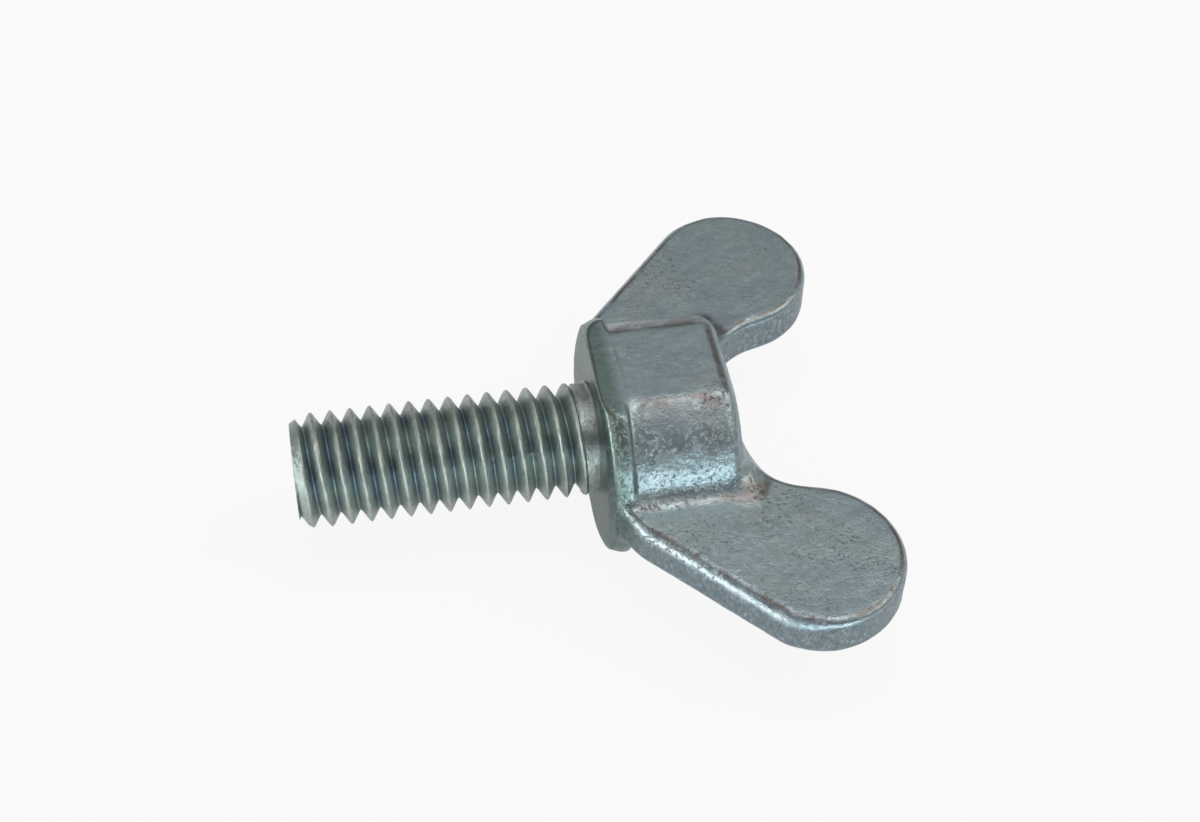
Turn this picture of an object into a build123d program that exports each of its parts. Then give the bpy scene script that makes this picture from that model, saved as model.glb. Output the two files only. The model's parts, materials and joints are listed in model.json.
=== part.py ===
"""A cold-forged wing screw with an M6 thread, as one solid.

X runs along the screw from its free end to its wings, with 0 at the bearing face.
Y runs across the wings. Z is square to them: the screw lies on a flat of its hub.
"""
import os
from math import asin, atan2, cos, radians, sin, tan

from build123d import *

# Driving dimensions, in millimetres and degrees.
# Thread, right-hand
THREAD_DIAMETER = 5.87
SHANK_LENGTH = 15.2
POINT_LENGTH = 1.3
POINT_DROP = 0.6

# Round base under the hub, which carries the bearing face
BASE_DIAMETER = 12.15
BASE_THICKNESS = 1.25
BASE_EDGE_RADIUS = 0.9

# Rounding along the wings' outline and round the hub's top
EDGE_RADIUS = 0.45

# Hub: a barrel between two flats, each cut deeper than that rounding by the margin
BARREL_DIAMETER = 11.0
HUB_HEIGHT = 6.95
FLAT_MARGIN = 0.03
HUB_ACROSS_FLATS = BARREL_DIAMETER - 2 * (EDGE_RADIUS + FLAT_MARGIN)

# Wings. The heel and the valley are how far outside the barrel each wing's
# outer side starts and its inner side leaves the round tip.
WING_SPAN = 29.4
WING_HEIGHT = 13.75
WING_THICKNESS = 2.5
WING_HEEL = 0.95
WING_VALLEY = 0.49
WING_INNER_ANGLE = 17
WING_FOOT_RADIUS = 2.5
WING_ROOT_FILLET = 0.7
WING_ROOT_DEPTH = 0.4

# How near two places lie that are taken as one
SEAT = 0.05


def shank():
    """The shank at its thread's full diameter, from its tapered point to inside the base."""
    foot = Plane(origin=(-SHANK_LENGTH, 0, 0), z_dir=(1, 0, 0))
    rod = extrude(foot * Circle(THREAD_DIAMETER / 2), SHANK_LENGTH + BASE_THICKNESS)
    free_end = rod.edges().sort_by(Axis.X)[0]
    return chamfer(free_end, POINT_LENGTH, POINT_DROP)


def base():
    """The round base, flattened like the hub, with its lower edge rounded."""
    radius = BASE_DIAMETER / 2
    start = (0, radius - BASE_EDGE_RADIUS)
    end = (BASE_EDGE_RADIUS, radius)
    with BuildLine() as outline:
        Line((0, 0), start)
        RadiusArc(start, end, BASE_EDGE_RADIUS)
        Polyline(end, (BASE_THICKNESS, radius), (BASE_THICKNESS, 0), (0, 0))
    disc = revolve(make_face(outline.edges()), Axis.X)
    return disc & Box(2 * BASE_DIAMETER, 2 * BASE_DIAMETER, HUB_ACROSS_FLATS)


def head_outline():
    """Both wings and the top of the hub between them, seen square to the wings."""
    inner_angle = radians(WING_INNER_ANGLE)
    room = WING_SPAN / 2 - BARREL_DIAMETER / 2 - WING_VALLEY
    tip_radius = room / (1 + cos(inner_angle))
    tip = Vector(WING_HEIGHT - tip_radius, WING_SPAN / 2 - tip_radius)
    heel = Vector(WING_ROOT_DEPTH, BARREL_DIAMETER / 2 + WING_HEEL)
    to_tip = tip - heel
    outer_angle = atan2(to_tip.Y, to_tip.X) + asin(tip_radius / to_tip.length)
    outer_end = tip + Vector(-sin(outer_angle), cos(outer_angle)) * tip_radius
    summit = tip + Vector(1, 1).normalized() * tip_radius
    inner_start = tip + Vector(sin(inner_angle), -cos(inner_angle)) * tip_radius
    foot = Vector(HUB_HEIGHT, inner_start.Y - (inner_start.X - HUB_HEIGHT) * tan(inner_angle))
    with BuildLine() as outline:
        Polyline((WING_ROOT_DEPTH, 0), heel, outer_end)
        ThreePointArc(outer_end, summit, inner_start)
        Polyline(inner_start, foot, (HUB_HEIGHT, 0), (WING_ROOT_DEPTH, 0))
    half = make_face(outline.edges())
    whole = half + mirror(half, Plane.XZ)
    feet = [v for v in whole.vertices() if abs(v.X - HUB_HEIGHT) < SEAT and abs(v.Y) > SEAT]
    return fillet(feet, WING_FOOT_RADIUS)


def hub_section():
    """The barrel between its flats, with fillets out to the wings' faces."""
    barrel = Circle(BARREL_DIAMETER / 2) & Rectangle(BARREL_DIAMETER, HUB_ACROSS_FLATS)
    reach = BARREL_DIAMETER / 2 + WING_ROOT_FILLET
    section = barrel + Rectangle(2 * reach, WING_THICKNESS)
    inside = [v for v in section.vertices() if abs(v.X) < BARREL_DIAMETER / 2]
    corners = [v for v in inside if abs(v.Y) < WING_THICKNESS / 2 + SEAT]
    return fillet(corners, WING_ROOT_FILLET)


def is_rim(edge):
    """Whether an edge of the sharp head lies along the wings' outline or the hub's top."""
    middle = edge @ 0.5
    direction = edge % 0.5
    across = abs(direction.Z) > cos(radians(WING_INNER_ANGLE))
    below = middle.X < HUB_HEIGHT - SEAT
    on_hub = abs(middle.Y) < BARREL_DIAMETER / 2 + WING_ROOT_FILLET
    on_face = abs(middle.Z) > WING_THICKNESS / 2 - SEAT
    return on_face and not across and not (below and on_hub)


def head():
    """The barrel and the wings, with one rounded edge running round both."""
    outline = head_outline()
    across = Plane(origin=(WING_ROOT_DEPTH, 0, 0), x_dir=(0, 1, 0), z_dir=(1, 0, 0))
    barrel = extrude(across * hub_section(), WING_HEIGHT)
    barrel &= extrude(outline, HUB_ACROSS_FLATS, both=True)
    sharp = barrel + extrude(outline, WING_THICKNESS / 2, both=True)
    return fillet([edge for edge in sharp.edges() if is_rim(edge)], EDGE_RADIUS)


def wing_screw():
    """The whole screw."""
    return head() + base() + shank()


os.makedirs("parts", exist_ok=True)
export_step(wing_screw(), "parts/wing_screw.step")
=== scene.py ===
"""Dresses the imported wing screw: a softened forged head, a true M6 thread and a zinc-plated finish.

Shapes are worked out in millimetres, in the CAD model's frame, and go to Blender in metres.
X runs along the screw from its free end to its wings, Y across the wings, and Z up.
"""

import json
from math import cos, pi, radians, sin

import bmesh
import bpy
import numpy as np
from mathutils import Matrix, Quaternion, Vector


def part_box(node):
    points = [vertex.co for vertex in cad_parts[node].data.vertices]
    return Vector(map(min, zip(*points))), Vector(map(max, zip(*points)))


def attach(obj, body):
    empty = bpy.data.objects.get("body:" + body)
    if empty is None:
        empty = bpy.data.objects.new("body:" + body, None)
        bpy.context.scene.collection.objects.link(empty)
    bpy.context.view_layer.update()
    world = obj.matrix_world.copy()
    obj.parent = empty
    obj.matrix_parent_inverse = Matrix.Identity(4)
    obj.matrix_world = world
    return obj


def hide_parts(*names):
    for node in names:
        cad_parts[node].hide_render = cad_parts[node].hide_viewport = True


MM = 0.001

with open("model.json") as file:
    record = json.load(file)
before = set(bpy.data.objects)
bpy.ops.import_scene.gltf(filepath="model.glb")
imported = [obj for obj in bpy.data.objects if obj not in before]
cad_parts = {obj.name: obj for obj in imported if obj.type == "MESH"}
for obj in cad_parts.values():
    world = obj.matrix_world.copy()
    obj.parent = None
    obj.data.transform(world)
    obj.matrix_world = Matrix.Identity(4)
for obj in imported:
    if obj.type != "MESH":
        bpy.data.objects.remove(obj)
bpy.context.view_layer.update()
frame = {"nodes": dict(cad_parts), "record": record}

# Sizes that the frame gives, in millimetres
low, high = (np.array(corner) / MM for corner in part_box("wing_screw"))
thread_mount = next(m for m in frame["record"]["mounts"] if m["name"] == "thread")
SHANK_END = low[0]
HEAD_TOP = high[0]
WING_REACH = high[1]
HALF_FLATS = high[2]
CREST_RADIUS = thread_mount["dims"]["r_mm"]

# Shank
PITCH = 1.0
THREAD_DEPTH = 0.67
CREST_ROUNDING = 0.08
ROOT_ROUNDING = 0.05
CREST_ABOVE_Y = 359 / 360           # on the +Y side, a crest lies this share of a pitch past the end
POINT_LENGTH = 0.75                 # the tapered free end
POINT_DROP = 0.45
END_RADIUS = CREST_RADIUS - POINT_DROP
COLLAR_LENGTH = 0.75                # the plain stretch under the base
COLLAR_RADIUS = 2.86
HIDDEN_LENGTH = 1.0                 # how far the skin runs on inside the head
STEPS_ROUND = 144
STEPS_ALONG_PITCH = 20

# Hub and base
BARREL_RADIUS = 5.5
BARREL_WIDENING = 1.08              # the barrel's width over its depth
HUB_TOP = 6.93
HUB_RIM_RADIUS = 0.9
FLAT_EDGE_RADIUS = 0.12
BASE_RADIUS = 6.075
BASE_THICKNESS = 1.25
BASE_EDGE_RADIUS = 1.0
BASE_LIP_RADIUS = 0.2
JOIN_RADIUS = 0.25                  # where the base meets the hub and the wings

# Wings
HALF_THICKNESS = 1.25
TIP_RADIUS = 4.45
OUTER_ANGLE = radians(48)
OUTER_FLATTENING = 0.13             # how far the outer side is set in from the tip's tangent
INNER_ANGLE = radians(17)
FOOT_RADIUS = 2.8                   # between a wing's inner side and the web
HEEL_LEVEL = 0.3                    # where the wings start above the bearing face
HEEL_RADIUS = 1.2
RIM_RADIUS = 0.5
OUTER_RIM_RADIUS = 0.85             # the softer rim along the outer sides
OUTER_RIM_REACH = 1.5
ROOT_RADIUS = 0.7                   # where the wings' faces grow from the hub's side
VALLEY_RADIUS = 1.6                 # the same fillet past the hub's shoulder
VALLEY_START = 5.8
VALLEY_REACH = 1.5

# Unevenness of the forging
SWELL_LENGTH = 5.0
SWELL_HEIGHT = 0.02
RIPPLE_LENGTH = 1.1
RIPPLE_HEIGHT = 0.01
WAVE_COUNT = 24
WAVE_SPREAD = (0.6, 1.5)            # slowest and quickest wave, as shares of the mean one
WAVE_SWING = 3                      # makes up for how far so many waves cancel out

# Meshes
GRID = 0.12                         # the size of the head's faces
CAD_CORNER = 0.001                  # corners of the CAD mesh nearer than this are one corner
SKIN_CORNER = 0.00001               # the same on the shank, where the end's middle is finely divided

# Camera
CAMERA_PLACE = Vector((-13.46, -70.32, 78.15))
CAMERA_TARGET = Vector((0.81, 1.75, 0.0))
CAMERA_ROLL = radians(1.5)
LENS = 61.7


# Distance fields: each is negative inside its form, and measured in millimetres

def joined(a, b, radius):
    """Both forms, with a fillet of that radius between them."""
    inside = np.hypot(np.maximum(radius - a, 0), np.maximum(radius - b, 0))
    return np.maximum(radius, np.minimum(a, b)) - inside


def common(a, b, radius):
    """What both forms share, with its edge rounded to that radius."""
    outside = np.hypot(np.maximum(radius + a, 0), np.maximum(radius + b, 0))
    return np.minimum(-radius, np.maximum(a, b)) + outside


def softened_common(a, b, reach):
    """What two forms share, eased where their sides run almost level with each other."""
    overlap = np.maximum(reach - np.abs(a - b), 0)
    return np.maximum(a, b) + overlap**2 / (4 * reach)


def waves(points, length, seed):
    """Smooth unevenness that mostly stays between -1 and 1, in waves of about that length."""
    rng = np.random.default_rng(seed)
    directions = rng.normal(size=(WAVE_COUNT, 3))
    directions /= np.linalg.norm(directions, axis=1, keepdims=True)
    frequency = 2 * pi / length * rng.uniform(*WAVE_SPREAD, WAVE_COUNT)
    phases = rng.uniform(0, 2 * pi, WAVE_COUNT)
    return np.sin(points @ (directions * frequency[:, None]).T + phases).mean(axis=1) * WAVE_SWING


def from_tip(x, y):
    """How far a place is from the middle of its wing's round tip: along the screw, and across it."""
    return x - (HEAD_TOP - TIP_RADIUS), np.abs(y) - (WING_REACH - TIP_RADIUS)


def outer_side(x, y):
    """The straight side that each wing turns to the screw's free end."""
    along, across = from_tip(x, y)
    return across * cos(OUTER_ANGLE) - along * sin(OUTER_ANGLE) - TIP_RADIUS + OUTER_FLATTENING


def outline(x, y):
    """Both wings and the web between them, seen square to the wings."""
    along, across = from_tip(x, y)
    tip = np.hypot(along, across) - TIP_RADIUS
    outer = outer_side(x, y)
    past_outer = along * cos(OUTER_ANGLE) + across * sin(OUTER_ANGLE) > 0
    outer = np.where(past_outer, softened_common(outer, tip, OUTER_FLATTENING), outer)
    inner = along * sin(INNER_ANGLE) - across * cos(INNER_ANGLE) - TIP_RADIUS
    past_inner = along * cos(INNER_ANGLE) + across * sin(INNER_ANGLE) > 0
    inner = np.where(past_inner, tip, inner)
    body = np.maximum(outer, joined(inner, x - HUB_TOP, FOOT_RADIUS))
    return common(body, HEEL_LEVEL - x, HEEL_RADIUS)


def hub(x, y, z):
    """The barrel between its flats, with its top edge well rounded."""
    round_side = np.hypot(y / BARREL_WIDENING, z) - BARREL_RADIUS
    section = common(round_side, np.abs(z) - HALF_FLATS, FLAT_EDGE_RADIUS)
    return np.maximum(common(section, x - HUB_TOP, HUB_RIM_RADIUS), HEEL_LEVEL - x)


def base(x, y, z):
    """The round base, with its lower edge rounded, between the same flats."""
    disc = common(np.hypot(y, z) - BASE_RADIUS, -x, BASE_EDGE_RADIUS)
    disc = common(disc, x - BASE_THICKNESS, BASE_LIP_RADIUS)
    return common(disc, np.abs(z) - HALF_FLATS, FLAT_EDGE_RADIUS)


def head(points):
    """The whole head, a little uneven as a forging is. The unevenness takes metal away and adds none."""
    x, y, z = points.T
    near_outer_side = np.clip(1 + outer_side(x, y) / OUTER_RIM_REACH, 0, 1)
    rim_radius = RIM_RADIUS + (OUTER_RIM_RADIUS - RIM_RADIUS) * near_outer_side
    wings = common(np.abs(z) - HALF_THICKNESS, outline(x, y), rim_radius)
    in_valley = np.clip((x - VALLEY_START) / VALLEY_REACH, 0, 1)
    root_radius = ROOT_RADIUS + (VALLEY_RADIUS - ROOT_RADIUS) * in_valley
    form = joined(wings, hub(x, y, z), root_radius)
    form = joined(form, base(x, y, z), JOIN_RADIUS)
    swell = SWELL_HEIGHT * (1 + waves(points, SWELL_LENGTH, seed=3))
    ripple = RIPPLE_HEIGHT * (1 + waves(points, RIPPLE_LENGTH, seed=4))
    return form + swell + ripple


def settle(points, field, rounds=4, reach=0.2, step=0.01, least_steepness=0.4):
    """Moves points onto the surface where the field is zero, by no more than the reach a round."""
    for _ in range(rounds):
        value = field(points)
        slope = np.empty_like(points)
        for axis in range(3):
            nudge = np.zeros(3)
            nudge[axis] = step
            slope[:, axis] = (field(points + nudge) - field(points - nudge)) / (2 * step)
        steepness = np.maximum((slope**2).sum(axis=1), least_steepness)
        move = np.clip(value / steepness, -reach, reach)
        points = points - slope * move[:, None]
    return points


def relax(points, edges, rounds=3):
    """Moves each point halfway to the middle of its neighbours, round after round."""
    ends = np.concatenate([edges, edges[:, ::-1]])
    count = np.bincount(ends[:, 0], minlength=len(points))[:, None]
    for _ in range(rounds):
        sums = [np.bincount(ends[:, 0], points[ends[:, 1], axis], len(points)) for axis in range(3)]
        points = 0.5 * points + 0.5 * np.stack(sums, axis=1) / count
    return points


# Meshes

def new_object(mesh):
    """A smooth-shaded object, named as its mesh is, that rides on the part's one body."""
    mesh.shade_smooth()
    piece = bpy.data.objects.new(mesh.name, mesh)
    bpy.context.scene.collection.objects.link(piece)
    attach(piece, "root")
    return piece


def evened(mesh):
    """The same closed form, divided evenly."""
    carrier = bpy.data.objects.new("uneven", mesh)
    bpy.context.scene.collection.objects.link(carrier)
    remesh = carrier.modifiers.new("even", "REMESH")
    remesh.mode = "VOXEL"
    remesh.voxel_size = GRID
    evaluated = carrier.evaluated_get(bpy.context.evaluated_depsgraph_get())
    even = bpy.data.meshes.new_from_object(evaluated)
    bpy.data.objects.remove(carrier)
    bpy.data.meshes.remove(mesh)
    return even


def rough_head():
    """The CAD head, cut from its shank, in millimetres."""
    rough = bmesh.new()
    rough.from_mesh(frame["nodes"]["wing_screw"].data)
    bmesh.ops.scale(rough, vec=(1 / MM, 1 / MM, 1 / MM), verts=rough.verts)
    bmesh.ops.remove_doubles(rough, verts=rough.verts, dist=CAD_CORNER)
    everything = rough.verts[:] + rough.edges[:] + rough.faces[:]
    bmesh.ops.bisect_plane(
        rough, geom=everything, plane_co=(-GRID, 0, 0), plane_no=(-1, 0, 0), clear_outer=True
    )
    bmesh.ops.holes_fill(rough, edges=[e for e in rough.edges if e.is_boundary])
    mesh = bpy.data.meshes.new("rough_head")
    rough.to_mesh(mesh)
    rough.free()
    return mesh


def forged_head():
    """The head, drawn in two passes from the CAD's form onto its softened form."""
    mesh = rough_head()
    for _ in range(2):
        mesh = evened(mesh)
        points = np.empty(len(mesh.vertices) * 3)
        mesh.vertices.foreach_get("co", points)
        edges = np.empty(len(mesh.edges) * 2, dtype=int)
        mesh.edges.foreach_get("vertices", edges)
        points = relax(points.reshape(-1, 3), edges.reshape(-1, 2))
        points = settle(points, head)
        mesh.vertices.foreach_set("co", points.ravel())
        mesh.update()
    points = np.clip(points, low, high) * MM
    mesh.vertices.foreach_set("co", points.ravel())
    mesh.update()
    mesh.name = "forged_head"
    return new_object(mesh)


def weld(mesh):
    """Joins corners that share a place, and drops those that no face uses."""
    skin = bmesh.new()
    skin.from_mesh(mesh)
    bmesh.ops.delete(skin, geom=[v for v in skin.verts if not v.link_faces], context="VERTS")
    bmesh.ops.remove_doubles(skin, verts=skin.verts, dist=SKIN_CORNER * MM)
    skin.to_mesh(mesh)
    skin.free()


def thread_radius(turn):
    """The thread's radius that many pitches along from a crest."""
    off_crest = np.abs((turn + 0.5) % 1.0 - 0.5) * PITCH
    quarter = PITCH / 4
    crest = np.hypot(np.minimum(off_crest, quarter), CREST_ROUNDING) - CREST_ROUNDING
    root = np.hypot(np.minimum(PITCH / 2 - off_crest, quarter), ROOT_ROUNDING) - ROOT_ROUNDING
    to_middle = np.hypot(quarter, CREST_ROUNDING) - CREST_ROUNDING
    full = to_middle + np.hypot(quarter, ROOT_ROUNDING) - ROOT_ROUNDING
    fall = np.where(off_crest < quarter, crest, full - root)
    return CREST_RADIUS - THREAD_DEPTH * fall / full


def strip(here, after):
    """The four-sided faces between two lines of points, given by their numbers."""
    return np.stack([here[:-1], after[:-1], after[1:], here[1:]], axis=1)


def threaded_shank():
    """The shank's right-hand thread and its flat end, as one skin whose rows follow the crest.

    The first turns lie past the free end. They draw in to the axis and are pushed flat against
    the end, which closes it. What lies at the axis, or far inside the head, gets no faces.
    """
    turns_for_end = 3
    turns = turns_for_end + int((HIDDEN_LENGTH - SHANK_END) / PITCH) + 1
    rows = turns * STEPS_ALONG_PITCH
    angle = np.arange(STEPS_ROUND) / STEPS_ROUND
    start = SHANK_END - turns_for_end * PITCH + CREST_ABOVE_Y * PITCH
    along = np.arange(rows + 1) / STEPS_ALONG_PITCH
    x = start + (angle[:, None] + along[None, :]) * PITCH

    radius = np.broadcast_to(thread_radius(along)[None, :], x.shape)
    taper = CREST_RADIUS - POINT_DROP * (1 - (x - SHANK_END) / POINT_LENGTH)
    radius = np.minimum(radius, taper)
    radius = np.where(x > -COLLAR_LENGTH, np.maximum(radius, COLLAR_RADIUS), radius)
    flat_end = END_RADIUS * (1 + (x - SHANK_END) / PITCH)
    radius = np.where(x < SHANK_END, flat_end, radius)
    radius = np.maximum(radius, 0)

    x = np.maximum(x, SHANK_END)
    theta = 2 * pi * angle[:, None]
    points = np.stack([x, radius * np.cos(theta), radius * np.sin(theta)], axis=-1)
    lines = np.arange(x.size).reshape(x.shape)
    strips = [strip(here, after) for here, after in zip(lines, lines[1:])]
    strips.append(strip(lines[-1, :-STEPS_ALONG_PITCH], lines[0, STEPS_ALONG_PITCH:]))
    faces = np.concatenate(strips)
    of_use = ((x < HIDDEN_LENGTH) & (radius > 0)).ravel()
    faces = faces[of_use[faces].any(axis=1)]
    mesh = bpy.data.meshes.new("threaded_shank")
    mesh.from_pydata((points.reshape(-1, 3) * MM).tolist(), [], faces.tolist())
    weld(mesh)
    return new_object(mesh)


# Finish

BLUE_ZINC = (0.45, 0.56, 0.61)
ZINC = (0.49, 0.60, 0.63)
PALE_ZINC = (0.55, 0.63, 0.63)
# Side colours: flecked as the trimmed sides are, and painted darker than the faces as shade
SIDE_SHADE = (0.18, 0.24, 0.27)
SHADED_SIDE_ZINC = (0.29, 0.36, 0.40)
SIDE_FLECK = (0.55, 0.63, 0.66)
SHOULDER_TINT = (0.56, 0.62, 0.54)
# Brown inside the rims: partly stain, partly a painted dark reflection
RIM_BROWN_STAIN_AND_REFLECTION = (0.20, 0.16, 0.15)
PIT_BLACK = (0.10, 0.11, 0.11)
# Thread colours: roots painted darker as shade, crests lighter as a painted highlight
ROOT_SHADE_GREEN = (0.32, 0.38, 0.36)
ROOT_SHADE_BLUE = (0.21, 0.26, 0.31)
FLANK_GREEN = (0.40, 0.50, 0.48)
FLANK_PALE = (0.50, 0.58, 0.53)
CREST_DULL = (0.38, 0.43, 0.41)
CREST_SHEEN = (0.58, 0.62, 0.58)
RELIEF_HEIGHT = 0.08                # of the fine grain, in millimetres


def grey(value):
    return (value, value, value)


class Nodes:
    """Short calls that add shader nodes to one material or world. Scales are per metre."""

    def __init__(self, owner):
        owner.use_nodes = True
        self.tree = owner.node_tree
        self.tree.nodes.clear()

    def add(self, kind, **values):
        node = self.tree.nodes.new(kind)
        for name, value in values.items():
            setattr(node, name, value)
        return node

    def link(self, source, target):
        self.tree.links.new(source, target)

    def component(self, vector, axis):
        """One of a vector's three numbers."""
        node = self.add("ShaderNodeSeparateXYZ")
        self.link(vector, node.inputs[0])
        return node.outputs[axis]

    def math(self, operation, first, second=None, third=None):
        node = self.add("ShaderNodeMath", operation=operation)
        for socket, value in zip(node.inputs, (first, second, third)):
            if isinstance(value, bpy.types.NodeSocket):
                self.link(value, socket)
            elif value is not None:
                socket.default_value = value
        return node.outputs[0]

    def noise(self, place, scale, detail=4.0, roughness=0.55):
        node = self.add("ShaderNodeTexNoise")
        node.inputs["Scale"].default_value = scale
        node.inputs["Detail"].default_value = detail
        node.inputs["Roughness"].default_value = roughness
        self.link(place, node.inputs["Vector"])
        return node.outputs["Fac"]

    def stretched(self, place, scale):
        node = self.add("ShaderNodeVectorMath", operation="MULTIPLY")
        node.inputs[1].default_value = scale
        self.link(place, node.inputs[0])
        return node.outputs["Vector"]

    def span(self, value, start, end):
        """0 where the value is at its start or short of it, and 1 from its end on."""
        node = self.add("ShaderNodeMapRange", interpolation_type="SMOOTHSTEP")
        node.inputs["From Min"].default_value = start
        node.inputs["From Max"].default_value = end
        self.link(value, node.inputs["Value"])
        return node.outputs["Result"]

    def ramp(self, factor, *stops):
        """Colours at places from 0 to 1, with even changes between them."""
        node = self.add("ShaderNodeValToRGB")
        elements = node.color_ramp.elements
        elements[0].position, elements[0].color = stops[0][0], (*stops[0][1], 1)
        elements[1].position, elements[1].color = stops[-1][0], (*stops[-1][1], 1)
        for position, colour in stops[1:-1]:
            elements.new(position).color = (*colour, 1)
        self.link(factor, node.inputs["Fac"])
        return node.outputs["Color"]

    def fade(self, factor, start, end, first=0, last=1):
        """Grey that goes from its first to its last level between two places."""
        return self.ramp(factor, (start, grey(first)), (end, grey(last)))

    def mix(self, factor, first, second, blend="MIX"):
        node = self.add("ShaderNodeMix", data_type="RGBA", blend_type=blend)
        sockets = (node.inputs[0], node.inputs[6], node.inputs[7])
        for socket, value in zip(sockets, (factor, first, second)):
            if isinstance(value, bpy.types.NodeSocket):
                self.link(value, socket)
            elif socket.type == "RGBA":
                socket.default_value = (*value, 1)
            else:
                socket.default_value = value
        return node.outputs[2]

    def product(self, first, second):
        return self.mix(1.0, first, second, "MULTIPLY")

    def metal(self, colour, roughness, height, strength):
        """Ends a metal: its colour, its gloss and its fine relief."""
        shader = self.add("ShaderNodeBsdfPrincipled")
        shader.inputs["Metallic"].default_value = 1.0
        self.link(colour, shader.inputs["Base Color"])
        self.link(roughness, shader.inputs["Roughness"])
        bump = self.add("ShaderNodeBump")
        bump.inputs["Strength"].default_value = strength
        bump.inputs["Distance"].default_value = RELIEF_HEIGHT * MM
        self.link(height, bump.inputs["Height"])
        self.link(bump.outputs["Normal"], shader.inputs["Normal"])
        self.surface(shader.outputs["BSDF"])

    def surface(self, shader, kind="ShaderNodeOutputMaterial"):
        """Ends the tree in the output of its material or world."""
        self.link(shader, self.add(kind).inputs["Surface"])


def forged_zinc():
    """Blue-grey zinc plating on forged steel: cloudy and pitted, with rougher, flecked sides that are
    painted darker as shade.
    """
    material = bpy.data.materials.new("forged_zinc")
    nodes = Nodes(material)
    coordinates = nodes.add("ShaderNodeTexCoord")
    place = coordinates.outputs["Object"]
    upright = nodes.math("ABSOLUTE", nodes.component(coordinates.outputs["Normal"], "Z"))
    # Where faces turn into sides: painted shade in the colour there, and coarser grain in the relief
    side_shade_and_grain = nodes.fade(upright, 0.2, 0.6, 1, 0)
    rim = nodes.ramp(upright, (0.80, grey(0)), (0.90, grey(1)), (0.975, grey(1)), (0.997, grey(0)))
    shoulder = nodes.span(nodes.component(place, "X"), 1.4 * MM, 0.6 * MM)

    # Cloudy plating on the faces; flecked on the trimmed sides, which are painted darker as shade;
    # darker on the base's shoulder
    clouds = nodes.noise(place, 330, detail=5)
    faces = nodes.ramp(clouds, (0.3, BLUE_ZINC), (0.5, ZINC), (0.7, PALE_ZINC))
    mottle = nodes.noise(place, 2600, detail=5, roughness=0.7)
    faces = nodes.product(faces, nodes.fade(mottle, 0.35, 0.65, 0.86, 1.0))
    flecks = nodes.noise(nodes.stretched(place, (1, 1, 0.6)), 5500, detail=4, roughness=0.7)
    shaded_flecked_sides = nodes.ramp(flecks, (0.35, SIDE_SHADE), (0.58, SHADED_SIDE_ZINC), (0.70, SIDE_FLECK))
    colour = nodes.mix(side_shade_and_grain, faces, shaded_flecked_sides)
    colour = nodes.mix(shoulder, colour, nodes.product(colour, SHOULDER_TINT))

    # Brown where a face begins to turn away, just inside the rims and along the fillets: partly brown
    # stain specks, partly a painted dark reflection
    stains = nodes.noise(place, 700, detail=5, roughness=0.7)
    stain_and_dark_reflection = nodes.product(nodes.fade(stains, 0.36, 0.54, 0, 0.8), rim)
    colour = nodes.mix(stain_and_dark_reflection, colour, RIM_BROWN_STAIN_AND_REFLECTION)

    # Dark pits, thicker in some places than in others
    groups = nodes.fade(nodes.noise(place, 300, detail=3), 0.46, 0.60, 0.2, 1)
    specks = nodes.fade(nodes.noise(place, 4200, detail=5, roughness=0.75), 0.54, 0.63)
    pits = nodes.product(nodes.product(groups, specks), grey(0.6))
    colour = nodes.mix(pits, colour, PIT_BLACK)

    gloss = nodes.fade(nodes.noise(place, 900, detail=4), 0.3, 0.7, 0.27, 0.38)
    gloss = nodes.mix(shoulder, gloss, grey(0.3))
    coarse = nodes.noise(place, 2500, detail=6, roughness=0.65)
    grain = nodes.mix(0.35, coarse, nodes.noise(place, 9000, detail=3))
    grain = nodes.mix(side_shade_and_grain, grain, flecks)
    dents = nodes.mix(rim, nodes.noise(place, 1300, detail=3), grey(0.5))
    relief = nodes.mix(pits, nodes.mix(0.5, grain, dents), grey(0.2))
    nodes.metal(colour, gloss, relief, strength=0.9)
    return material


def rolled_zinc():
    """The same plating on the rolled thread: lighter on its crests as a painted highlight, and painted
    darker down in its roots as shade.
    """
    material = bpy.data.materials.new("rolled_zinc")
    nodes = Nodes(material)
    place = nodes.add("ShaderNodeTexCoord").outputs["Object"]
    from_axis = nodes.add("ShaderNodeVectorMath", operation="LENGTH")
    nodes.link(nodes.stretched(place, (0, 1, 1)), from_axis.inputs[0])
    root_radius = CREST_RADIUS - THREAD_DEPTH
    height = nodes.span(from_axis.outputs["Value"], root_radius * MM, CREST_RADIUS * MM)

    # Painted shade: the roots are coloured darker than the flanks
    root = nodes.ramp(nodes.noise(place, 420, detail=3), (0.42, ROOT_SHADE_GREEN), (0.6, ROOT_SHADE_BLUE))
    flank = nodes.ramp(nodes.noise(place, 700, detail=4), (0.35, FLANK_GREEN), (0.65, FLANK_PALE))
    # Painted highlight: lighter patches on the crests
    crest = nodes.ramp(nodes.noise(place, 1500, detail=4), (0.35, CREST_DULL), (0.65, CREST_SHEEN))
    colour = nodes.mix(nodes.fade(height, 0.0, 0.45), root, flank)
    colour = nodes.mix(nodes.fade(height, 0.6, 0.92), colour, crest)

    gloss = nodes.fade(nodes.noise(place, 1200, detail=4), 0.3, 0.7, 0.32, 0.45)
    grain = nodes.noise(place, 3000, detail=5, roughness=0.65)
    nodes.metal(colour, gloss, grain, strength=0.7)
    return material


# Studio: its places and lengths are in metres

COOL = (0.82, 0.96, 1.0)
WARM = (1.0, 0.93, 0.8)


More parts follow.
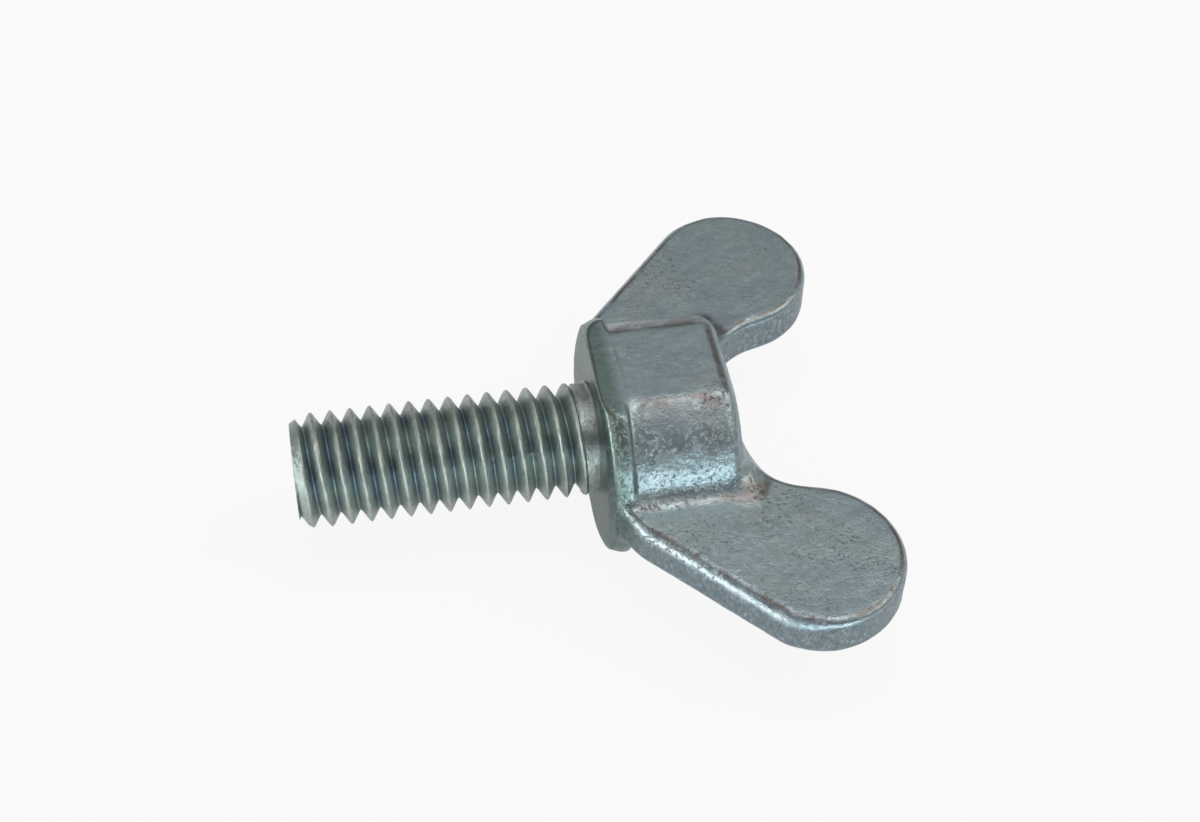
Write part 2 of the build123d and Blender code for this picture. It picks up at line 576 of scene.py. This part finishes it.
def white_floor():
    """A white floor that stays white to the camera and in the metal, and keeps the shadow."""
    half_width = 2.0
    glow_to_camera = 0.9
    glow_in_metal = 0.4
    mesh = bpy.data.meshes.new("floor")
    corners = [(x * half_width, y * half_width, 0) for x, y in ((-1, -1), (1, -1), (1, 1), (-1, 1))]
    mesh.from_pydata(corners, [], [(0, 1, 2, 3)])
    floor = bpy.data.objects.new("floor", mesh)
    floor.location.z = low[2] * MM
    bpy.context.scene.collection.objects.link(floor)
    material = bpy.data.materials.new("white_paper")
    nodes = Nodes(material)
    diffuse = nodes.add("ShaderNodeBsdfDiffuse")
    diffuse.inputs["Color"].default_value = (*grey(0.9), 1)
    glow = nodes.add("ShaderNodeEmission")
    glow.inputs["Color"].default_value = (*grey(1), 1)
    rays = nodes.add("ShaderNodeLightPath")
    in_metal = nodes.math("MULTIPLY", rays.outputs["Is Glossy Ray"], glow_in_metal)
    share = nodes.math("MULTIPLY_ADD", rays.outputs["Is Camera Ray"], glow_to_camera, in_metal)
    blend = nodes.add("ShaderNodeMixShader")
    nodes.link(share, blend.inputs[0])
    nodes.link(diffuse.outputs["BSDF"], blend.inputs[1])
    nodes.link(glow.outputs["Emission"], blend.inputs[2])
    nodes.surface(blend.outputs["Shader"])
    mesh.materials.append(material)


def aimed(name, data, place, target, roll=0.0):
    """A lamp's or a camera's object, turned to face its target."""
    holder = bpy.data.objects.new(name, data)
    holder.location = place
    holder.rotation_mode = "QUATERNION"
    turned = (Vector(target) - Vector(place)).to_track_quat("-Z", "Y")
    holder.rotation_quaternion = turned @ Quaternion((0, 0, 1), roll)
    bpy.context.scene.collection.objects.link(holder)
    return holder


def softbox(name, place, target, size, brightness, tint=(1, 1, 1)):
    """A rectangular lamp. Its brightness is what a mirror would show of it."""
    lamp = bpy.data.lights.new(name, "AREA")
    lamp.color = tint
    lamp.shape = "RECTANGLE"
    lamp.size, lamp.size_y = size
    lamp.energy = brightness * pi * size[0] * size[1]
    aimed(name, lamp, place, target)


def studio_world():
    """A dark room in front, and a grey wall behind the object that its flats mirror.

    Each ramp goes from the horizon at 0 up to the zenith at 1, and stays even below the horizon.
    """
    world = bpy.data.worlds.new("studio")
    nodes = Nodes(world)
    direction = nodes.add("ShaderNodeTexCoord").outputs["Generated"]
    height = nodes.component(direction, "Z")
    front = nodes.ramp(
        height,
        (0.0, (0.32, 0.32, 0.33)),
        (0.15, (0.17, 0.17, 0.18)),
        (0.5, (0.12, 0.12, 0.14)),
        (0.85, (0.22, 0.22, 0.24)),
        (0.95, grey(0.45)),
    )
    back = nodes.ramp(
        height,
        (0.0, grey(0.20)),
        (0.4, grey(0.27)),
        (0.6, grey(0.35)),
        (0.85, grey(0.37)),
        (0.95, grey(0.45)),
    )
    behind = nodes.span(nodes.component(direction, "Y"), -0.2, 0.3)
    background = nodes.add("ShaderNodeBackground")
    nodes.link(nodes.mix(behind, front, back), background.inputs["Color"])
    nodes.surface(background.outputs["Background"], "ShaderNodeOutputWorld")
    bpy.context.scene.world = world


def camera():
    """Looks down on the screw from in front, as it lies on its flat."""
    data = bpy.data.cameras.new("camera")
    data.sensor_width = 36
    data.lens = LENS
    data.clip_start = MM
    holder = aimed("camera", data, CAMERA_PLACE * MM, CAMERA_TARGET * MM, CAMERA_ROLL)
    bpy.context.scene.camera = holder


forged = forged_head()
forged.data.materials.append(forged_zinc())
shank = threaded_shank()
shank.data.materials.append(rolled_zinc())
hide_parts("wing_screw")
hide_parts("wing_screw")

white_floor()
studio_world()
softbox("left_window", (-0.33, -0.06, 0.045), (0, 0, 0.045), size=(0.36, 0.1), brightness=4.0)
softbox("front_window", (0, -0.35, 0.011), (0, 0, 0.011), size=(0.6, 0.03), brightness=9.0, tint=COOL)
softbox("right_window", (0.32, -0.05, 0.32), (0, 0, 0), size=(0.3, 0.3), brightness=1.3, tint=WARM)
softbox("ceiling_lamp", (0.03, 0.02, 0.4), (0, 0, 0), size=(0.2, 0.2), brightness=2.0)
camera()
bpy.context.scene.view_settings.view_transform = "Standard"
